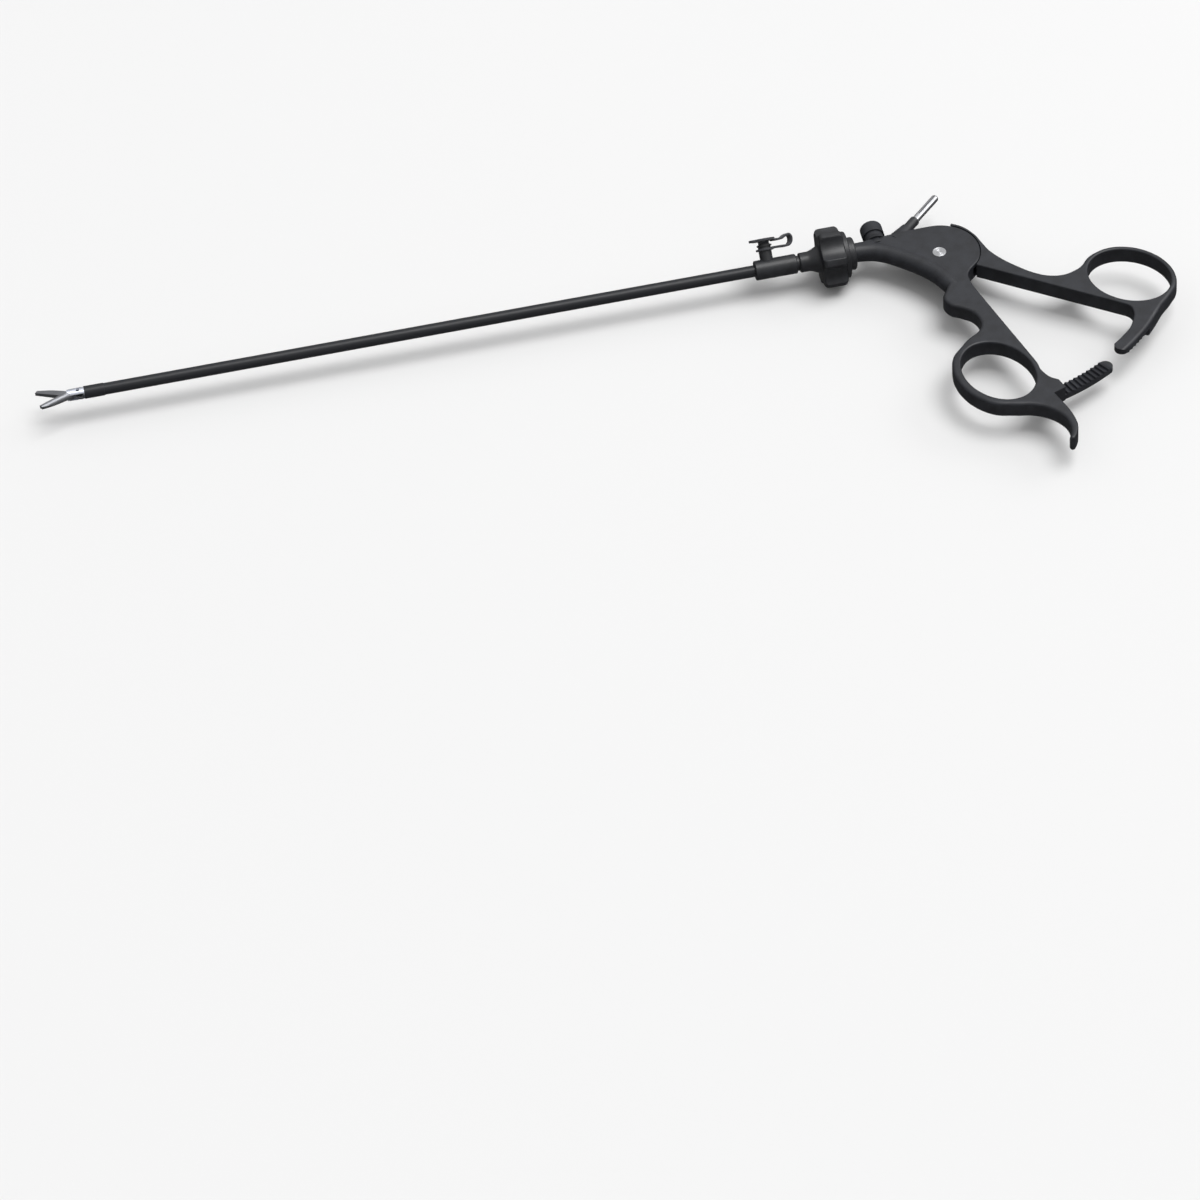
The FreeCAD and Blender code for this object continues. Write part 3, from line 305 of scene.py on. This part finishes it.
def mergedCopy(nodeName, reach=weld):
    # a CAD piece as a closed mesh of its own
    shape = bmesh.new()
    shape.from_mesh(nodes[nodeName].data)
    bmesh.ops.remove_doubles(shape, verts=shape.verts, dist=reach)
    return shape


def sharpEdges(shape, angle):
    return [e for e in shape.edges if len(e.link_faces) == 2 and e.calc_face_angle() > radians(angle)]


def roundEdges(shape, edges, width, segments=3, clamp=False):
    bmesh.ops.bevel(shape, geom=edges, offset=width, affect="EDGES", segments=segments, profile=0.5,
                    material=-1, clamp_overlap=clamp)


def turnedRing(corners, axis, steps):
    # a closed ring, turned from the corners (x, z) of its section
    ring = bmesh.new()
    start = [ring.verts.new((x, 0, z)) for x, z in corners]
    start += [ring.edges.new(pair) for pair in zip(start, start[1:] + start[:1])]
    bmesh.ops.spin(ring, geom=start, cent=(0, 0, 0), axis=axis, angle=2 * pi, steps=steps, use_merge=True)
    bmesh.ops.remove_doubles(ring, verts=ring.verts, dist=weld)
    turnOutward(ring)
    return ring


def shownMesh(thing):
    # the mesh that a curve or a modifier gives
    bpy.context.view_layer.update()
    return bpy.data.meshes.new_from_object(thing.evaluated_get(bpy.context.evaluated_depsgraph_get()))


def drawnLine(points, extrude=0.0, fineness=8):
    # the mesh of a smooth line through flat points, or of a band that stands on it
    curve = bpy.data.curves.new("drawnLine", "CURVE")
    curve.dimensions = "2D"
    curve.fill_mode = "NONE"
    curve.extrude = extrude
    spline = curve.splines.new("NURBS")
    spline.points.add(len(points) - 1)
    for point, (x, y) in zip(spline.points, points):
        point.co = (x * mm, y * mm, 0, 1)
    spline.order_u = 4
    spline.use_endpoint_u = True
    spline.resolution_u = fineness
    drawn = bpy.data.objects.new("drawnLine", curve)
    bpy.context.collection.objects.link(drawn)
    mesh = shownMesh(drawn)
    bpy.data.objects.remove(drawn)
    return mesh


# cap and strap of the flushing port

port = {
    "foot": Vector((5.8, 0, 0)) * mm,  # where the port's axis meets the shaft's
    "tilt": radians(45),
    "ringHeight": 8.1 * mm,
    "capHeight": 12.3 * mm,
    "capWeld": 0.002 * mm,
    "capFlat": radians(0.5),  # facets flatter than this to each other become one
    "capEdge": 0.22 * mm,
    "capSharp": 35,
}
portFrame = Matrix.Translation(port["foot"]) @ Matrix.Rotation(-port["tilt"], 4, "X")

strap = {
    "width": 3.4 * mm,
    "thickness": 0.9 * mm,
    "edge": 0.2 * mm,
    "turn": radians(25),  # how far it leans back round the port
    "route": [(4.3, 12.25), (6.6, 12.2), (8.4, 12.0), (10.2, 13.2), (12.5, 14.0), (14.3, 12.2), (13.6, 9.2),
              (11.4, 7.8), (8.8, 8.2), (6.0, 8.1), (3.2, 8.1)],  # out from the port's axis, and up along it
    "ringWall": 1.05 * mm,
    "ringSteps": 64,
    "portRadius": 2.75 * mm,
    "bendInset": 0.5 * mm,  # the bend keeps this far from the ring and from the cap
}


def capStrap():
    # a flat band bent from the cap round to the ring, with its long edges rounded over
    mesh = drawnLine(strap["route"], strap["width"] / 2)
    band = bmesh.new()
    band.from_mesh(mesh)
    bpy.data.meshes.remove(mesh)
    bmesh.ops.remove_doubles(band, verts=band.verts, dist=weld)
    bmesh.ops.solidify(band, geom=band.faces[:], thickness=strap["thickness"])
    turnOutward(band)
    roundEdges(band, sharpEdges(band, 60), strap["edge"])
    # the band is drawn in a flat XY plane, so it is stood up before it goes on the port
    for turn, axis in ((pi / 2, "X"), (strap["turn"], "Z")):
        bmesh.ops.rotate(band, verts=band.verts, cent=(0, 0, 0), matrix=Matrix.Rotation(turn, 3, axis))
    bmesh.ops.transform(band, verts=band.verts, matrix=portFrame)
    return finishPiece(band, "capStrap", "greySilicone")


def strapRing():
    # the ring of the strap that grips the port under its lug
    inner, outer = strap["portRadius"], strap["portRadius"] + strap["ringWall"]
    low, high = (port["ringHeight"] + way * strap["thickness"] / 2 for way in (-1, 1))
    ring = turnedRing([(inner, low), (outer, low), (outer, high), (inner, high)], (0, 0, 1), strap["ringSteps"])
    roundEdges(ring, sharpEdges(ring, 60), strap["edge"])
    bmesh.ops.transform(ring, verts=ring.verts, matrix=portFrame)
    return finishPiece(ring, "strapRing", "greySilicone")


def portCap():
    # the CAD cap with its moulded edges rounded over
    shape = mergedCopy("port_cap", port["capWeld"])
    bmesh.ops.dissolve_limit(shape, angle_limit=port["capFlat"], verts=shape.verts, edges=shape.edges)
    roundEdges(shape, sharpEdges(shape, port["capSharp"]), port["capEdge"], clamp=True)
    return finishPiece(shape, "portCap", "greySilicone")


band = capStrap()
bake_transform(band)
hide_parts("cap_strap")
grip = strapRing()
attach(grip, "shaft")
cap = portCap()
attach(cap, "cap")
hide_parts("port_cap")
print("cap, strap and ring made")


# rounded rim of the housing

rim = {
    # centre line of the bead that runs from the neck along the front of the housing, in the handle's plane
    "route": [(44.0, 0.0), (46.5, -0.2), (50.0, -0.8), (53.6, -2.2), (57.9, -5.0), (61.8, -8.5), (65.6, -12.0),
              (69.4, -15.9), (73.0, -20.4), (76.3, -26.0), (78.2, -31.4), (80.2, -36.0)],
    "fineness": 6,
    # where the flat cheek beside it dies into the housing
    "inner": [(80.9, -34.0), (79.8, -30.0), (77.8, -23.0), (74.8, -15.4), (70.2, -9.9), (64.4, -2.8),
              (58.6, 2.7), (54.0, 2.9), (50.5, 2.5), (47.5, 1.6), (44.5, 1.3)],
    "radius": 4.12 * mm,
    "wall": 0.7 * mm,
    "wrap": radians(113),  # to each side of the outermost point
    "segments": 30,
    "cheek": 3.806 * mm,
    "cheekWall": 0.6 * mm,
    "cheekShort": 4,  # points of the line that the cheek leaves out at the notch
    "fadeLength": 9.0 * mm,  # the bead sinks into the housing over its last stretch
    "fadeTo": 0.86,
}


def lineStations(points):
    # a frame at each point of a flat line: X along it, Y to its left, Z up
    stations = []
    for index, point in enumerate(points):
        ahead = points[min(index + 1, len(points) - 1)] - points[max(index - 1, 0)]
        ahead.normalize()
        side = Vector((-ahead.y, ahead.x, 0))
        turned = Matrix((ahead, side, (0, 0, 1))).transposed().to_4x4()
        stations.append(Matrix.Translation(point) @ turned)
    return stations


def rimBead(shape, centres):
    # a curved wall, open towards the housing, drawn on from station to station
    stations = lineStations(centres)
    turns = [rim["wrap"] * (2 * step / rim["segments"] - 1) for step in range(rim["segments"] + 1)]
    outer, inner = rim["radius"], rim["radius"] - rim["wall"]
    section = [(outer, t) for t in turns] + [(inner, t) for t in reversed(turns)]
    ring = [shape.verts.new(stations[0] @ Vector((0, -r * cos(t), r * sin(t)))) for r, t in section]
    edges = [shape.edges.new(pair) for pair in zip(ring, ring[1:] + ring[:1])]
    shape.faces.new(ring)
    steps = [(b - a).length for a, b in zip(centres, centres[1:])]
    grown = 1.0
    for index, (before, after) in enumerate(zip(stations, stations[1:])):
        left = sum(steps[index + 1:])
        wanted = 1 - (1 - rim["fadeTo"]) * max(0.0, 1 - left / rim["fadeLength"]) ** 2
        made = bmesh.ops.extrude_edge_only(shape, edges=edges)["geom"]
        verts = [g for g in made if isinstance(g, bmesh.types.BMVert)]
        edges = [g for g in made if isinstance(g, bmesh.types.BMEdge)
                 and g.verts[0] in verts and g.verts[1] in verts]
        scaled = Matrix.Scale(wanted / grown, 4, (0, 1, 0)) @ Matrix.Scale(wanted / grown, 4, (0, 0, 1))
        bmesh.ops.transform(shape, verts=verts, matrix=after @ scaled @ before.inverted())
        grown = wanted
    bmesh.ops.contextual_create(shape, geom=edges)


def rimCheek(shape, centres, way):
    # a thin flat sheet, flush with the housing on one side
    outline = centres[:-rim["cheekShort"]] + [Vector((x * mm, y * mm, 0)) for x, y in rim["inner"]]
    low = rim["cheek"] - rim["cheekWall"]
    sheet = shape.faces.new([shape.verts.new((p.x, p.y, way * low)) for p in outline])
    raised = bmesh.ops.extrude_face_region(shape, geom=[sheet])["geom"]
    raised = [g for g in raised if isinstance(g, bmesh.types.BMVert)]
    bmesh.ops.translate(shape, verts=raised, vec=(0, 0, way * rim["cheekWall"]))


def handleRim():
    line = drawnLine(rim["route"], fineness=rim["fineness"])
    centres = [v.co.copy() for v in line.vertices]
    bpy.data.meshes.remove(line)
    shape = bmesh.new()
    rimBead(shape, centres)
    for way in (1, -1):
        rimCheek(shape, centres, way)
    turnOutward(shape)
    return finishPiece(shape, "handleRim", "matteBlackPeek", smoothAngle=30)


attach(handleRim(), "handle")
print("handle rim made")


# rotation wheel

wheel = {
    "front": 27.95 * mm,
    "length": 10.25 * mm,
    "radius": 13.0 * mm,
    "bore": 2.4 * mm,
    "steps": 120,
    "endEdge": 1.9 * mm,  # rounding of the two outer rims, before the dishes are cut
    "dishCount": 6,
    "dishRadius": 7.0 * mm,
    "dishFloor": 9.7 * mm,  # how near the axis each finger dish comes
    "dishSegments": 128,
    "softEdge": 0.5 * mm,
    "weld": 0.002 * mm,
    "bellOverlap": 0.04 * mm,  # how far the bell reaches into the disc
}


def outOf(shape, angle, share):
    # sharp edges that lie beyond a share of the wheel's radius
    reach = share * wheel["radius"]
    return [e for e in sharpEdges(shape, angle) if min(v.co.yz.length for v in e.verts) > reach]


def dishCutter():
    dishes = bmesh.new()
    middle = (wheel["front"] + wheel["length"] / 2, wheel["dishFloor"] + wheel["dishRadius"], 0)
    for index in range(wheel["dishCount"]):
        made = bmesh.ops.create_cone(dishes, cap_ends=True, segments=wheel["dishSegments"],
                                     radius1=wheel["dishRadius"], radius2=wheel["dishRadius"],
                                     depth=2 * wheel["length"])["verts"]
        bmesh.ops.rotate(dishes, verts=made, matrix=Matrix.Rotation(pi / 2, 3, "Y"))
        bmesh.ops.translate(dishes, verts=made, vec=middle)
        turned = Matrix.Rotation(2 * pi * index / wheel["dishCount"], 3, "X")
        bmesh.ops.rotate(dishes, verts=made, matrix=turned)
    return plainObject(dishes, "dishCutter")


def dishedDisc():
    # a thick ring with rounded rims, and six dishes for the fingers cut along it
    front, back = wheel["front"], wheel["front"] + wheel["length"]
    bore, radius = wheel["bore"], wheel["radius"]
    ring = turnedRing([(front, bore), (back, bore), (back, radius), (front, radius)], (1, 0, 0), wheel["steps"])
    roundEdges(ring, outOf(ring, 60, 0.9), wheel["endEdge"], segments=8)
    holder = plainObject(ring, "dishedDisc")
    cutter = dishCutter()
    cut = holder.modifiers.new("dishes", "BOOLEAN")
    cut.operation, cut.object, cut.solver = "DIFFERENCE", cutter, "EXACT"
    disc = bmesh.new()
    disc.from_mesh(shownMesh(holder))
    bpy.data.objects.remove(cutter)
    bpy.data.objects.remove(holder)
    bmesh.ops.remove_doubles(disc, verts=disc.verts, dist=wheel["weld"])
    roundEdges(disc, outOf(disc, 24, 0.6), wheel["softEdge"], segments=4)
    turnOutward(disc)
    return disc


def wheelBell():
    # the CAD wheel up to where its lobes start, closed again
    bell = mergedCopy("rotation_wheel")
    cut = bmesh.ops.bisect_plane(bell, geom=bell.verts[:] + bell.edges[:] + bell.faces[:],
                                 plane_co=(wheel["front"] + wheel["bellOverlap"], 0, 0), plane_no=(1, 0, 0),
                                 clear_outer=True)["geom_cut"]
    bmesh.ops.bridge_loops(bell, edges=[g for g in cut if isinstance(g, bmesh.types.BMEdge)])
    turnOutward(bell)
    return bell


def rotationWheel():
    shape = dishedDisc()
    bell = wheelBell()
    mesh = bpy.data.meshes.new("bell")
    bell.to_mesh(mesh)
    bell.free()
    shape.from_mesh(mesh)
    bpy.data.meshes.remove(mesh)
    return finishPiece(shape, "rotationWheel", "satinBlackPeek", smoothAngle=35)


turner = rotationWheel()
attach(turner, "shaft")
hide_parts("rotation_wheel")
print("rotation wheel made")


# spring of the release button

# the same coil as the CAD one, copied to a mesh of its own
coil = finishPiece(mergedCopy("release_spring"), "latchSpring", "drawnStainlessSteel")
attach(coil, "handle")
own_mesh(coil)
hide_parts("release_spring")
print("latch spring made")


# floor, light and camera

floor = {"height": -13.0 * mm, "size": 6.0, "colour": "#e6e6e6", "fibreWidth": 4.0, "roughness": (0.85, 0.95)}
studio = {
    "background": "#f7f7f7",
    "sky": (0.07, 0.72),  # from below the horizon to overhead
    "skyFrom": (-0.1, 0.95),
    "skyLean": (0.15, 0.15, 0.97),
}
keyLight = {"from": (0.38, -0.02, 1.0), "angle": radians(42), "strength": 2.05}
sideLight = {"place": (1.3, 0.25, 0.75), "aim": (0.1, -0.05, 0.0), "size": (0.9, 0.5), "watts": 2.4}


def makeFloor():
    sheet = bmesh.new()
    bmesh.ops.create_grid(sheet, x_segments=1, y_segments=1, size=floor["size"] / 2)
    bmesh.ops.translate(sheet, verts=sheet.verts, vec=(0, 0, floor["height"]))
    piece = plainObject(sheet, "paperFloor")
    # seamless background paper, matte, with a faint fibre mottle a few millimetres wide
    material, tree, place = startMaterial("whiteBackgroundPaper")
    fibre = noiseOf(tree, place, floor["fibreWidth"], detail=3.0)
    shader = addNode(tree, "ShaderNodeBsdfPrincipled",
                     {"Base Color": toLinear(floor["colour"]), "Specular IOR Level": 0.1},
                     {"Roughness": rangeOf(tree, fibre, floor["roughness"])})
    closeMaterial(tree, shader)
    piece.data.materials.append(material)
    piece.visible_glossy = False  # black plastic photographed on paper keeps its sides dark


def lightSky():
    world = bpy.data.worlds.new("studioAir")
    bpy.context.scene.world = world
    world.use_nodes = True
    tree = world.node_tree
    tree.nodes.clear()
    way = addNode(tree, "ShaderNodeTexCoord").outputs["Generated"]
    lean = addNode(tree, "ShaderNodeVectorMath", {"operation": "DOT_PRODUCT"}, {0: way})
    lean.inputs[1].default_value = studio["skyLean"]
    rise = rangeOf(tree, lean.outputs["Value"], studio["sky"], taken=studio["skyFrom"])
    lit = addNode(tree, "ShaderNodeBackground", {"Color": (1, 1, 1, 1)}, {"Strength": rise})
    seen = addNode(tree, "ShaderNodeBackground", {"Color": toLinear(studio["background"]), "Strength": 1.0})
    ray = addNode(tree, "ShaderNodeLightPath")
    both = addNode(tree, "ShaderNodeMixShader",
                   links={0: ray.outputs["Is Camera Ray"], 1: lit.outputs["Background"],
                          2: seen.outputs["Background"]})
    addNode(tree, "ShaderNodeOutputWorld", links={"Surface": both.outputs["Shader"]})


def hangLamp(name, kind, place, aim):
    # a lamp at a place, turned to its aim
    data = bpy.data.lights.new(name, kind)
    lamp = bpy.data.objects.new(name, data)
    bpy.context.collection.objects.link(lamp)
    lamp.location = place
    lamp.rotation_euler = (Vector(aim) - Vector(place)).to_track_quat("-Z", "Y").to_euler()
    return data


def lightStudio():
    lightSky()
    # a big softbox far off, so that the paper is lit evenly
    key = hangLamp("keySoftbox", "SUN", keyLight["from"], (0, 0, 0))
    key.angle = keyLight["angle"]
    key.energy = keyLight["strength"]
    side = hangLamp("sideSoftbox", "AREA", sideLight["place"], sideLight["aim"])
    side.shape = "RECTANGLE"
    side.size, side.size_y = sideLight["size"]
    side.energy = sideLight["watts"]


cameraView = {
    "place": Vector((-290.271, -1620.191, 1478.882)) * mm,
    "azimuth": radians(-7.444), "elevation": radians(45.407), "roll": radians(-5.252),
    "lens": 156.61, "sensor": 36.0,
    "clip": (0.05, 10.0),
}


def setCamera():
    data = bpy.data.cameras.new("photoCamera")
    data.lens = cameraView["lens"]
    data.sensor_width = cameraView["sensor"]
    data.clip_start, data.clip_end = cameraView["clip"]
    camera = bpy.data.objects.new("photoCamera", data)
    bpy.context.collection.objects.link(camera)
    turnTo = Matrix.Rotation(cameraView["azimuth"], 4, "Z")
    turnTo = turnTo @ Matrix.Rotation(pi / 2 - cameraView["elevation"], 4, "X")
    turnTo = turnTo @ Matrix.Rotation(cameraView["roll"], 4, "Z")
    camera.matrix_world = Matrix.Translation(cameraView["place"]) @ turnTo
    bpy.context.scene.camera = camera


makeFloor()
lightStudio()
setCamera()
bpy.context.scene.view_settings.view_transform = "Standard"
print("floor, light and camera set")
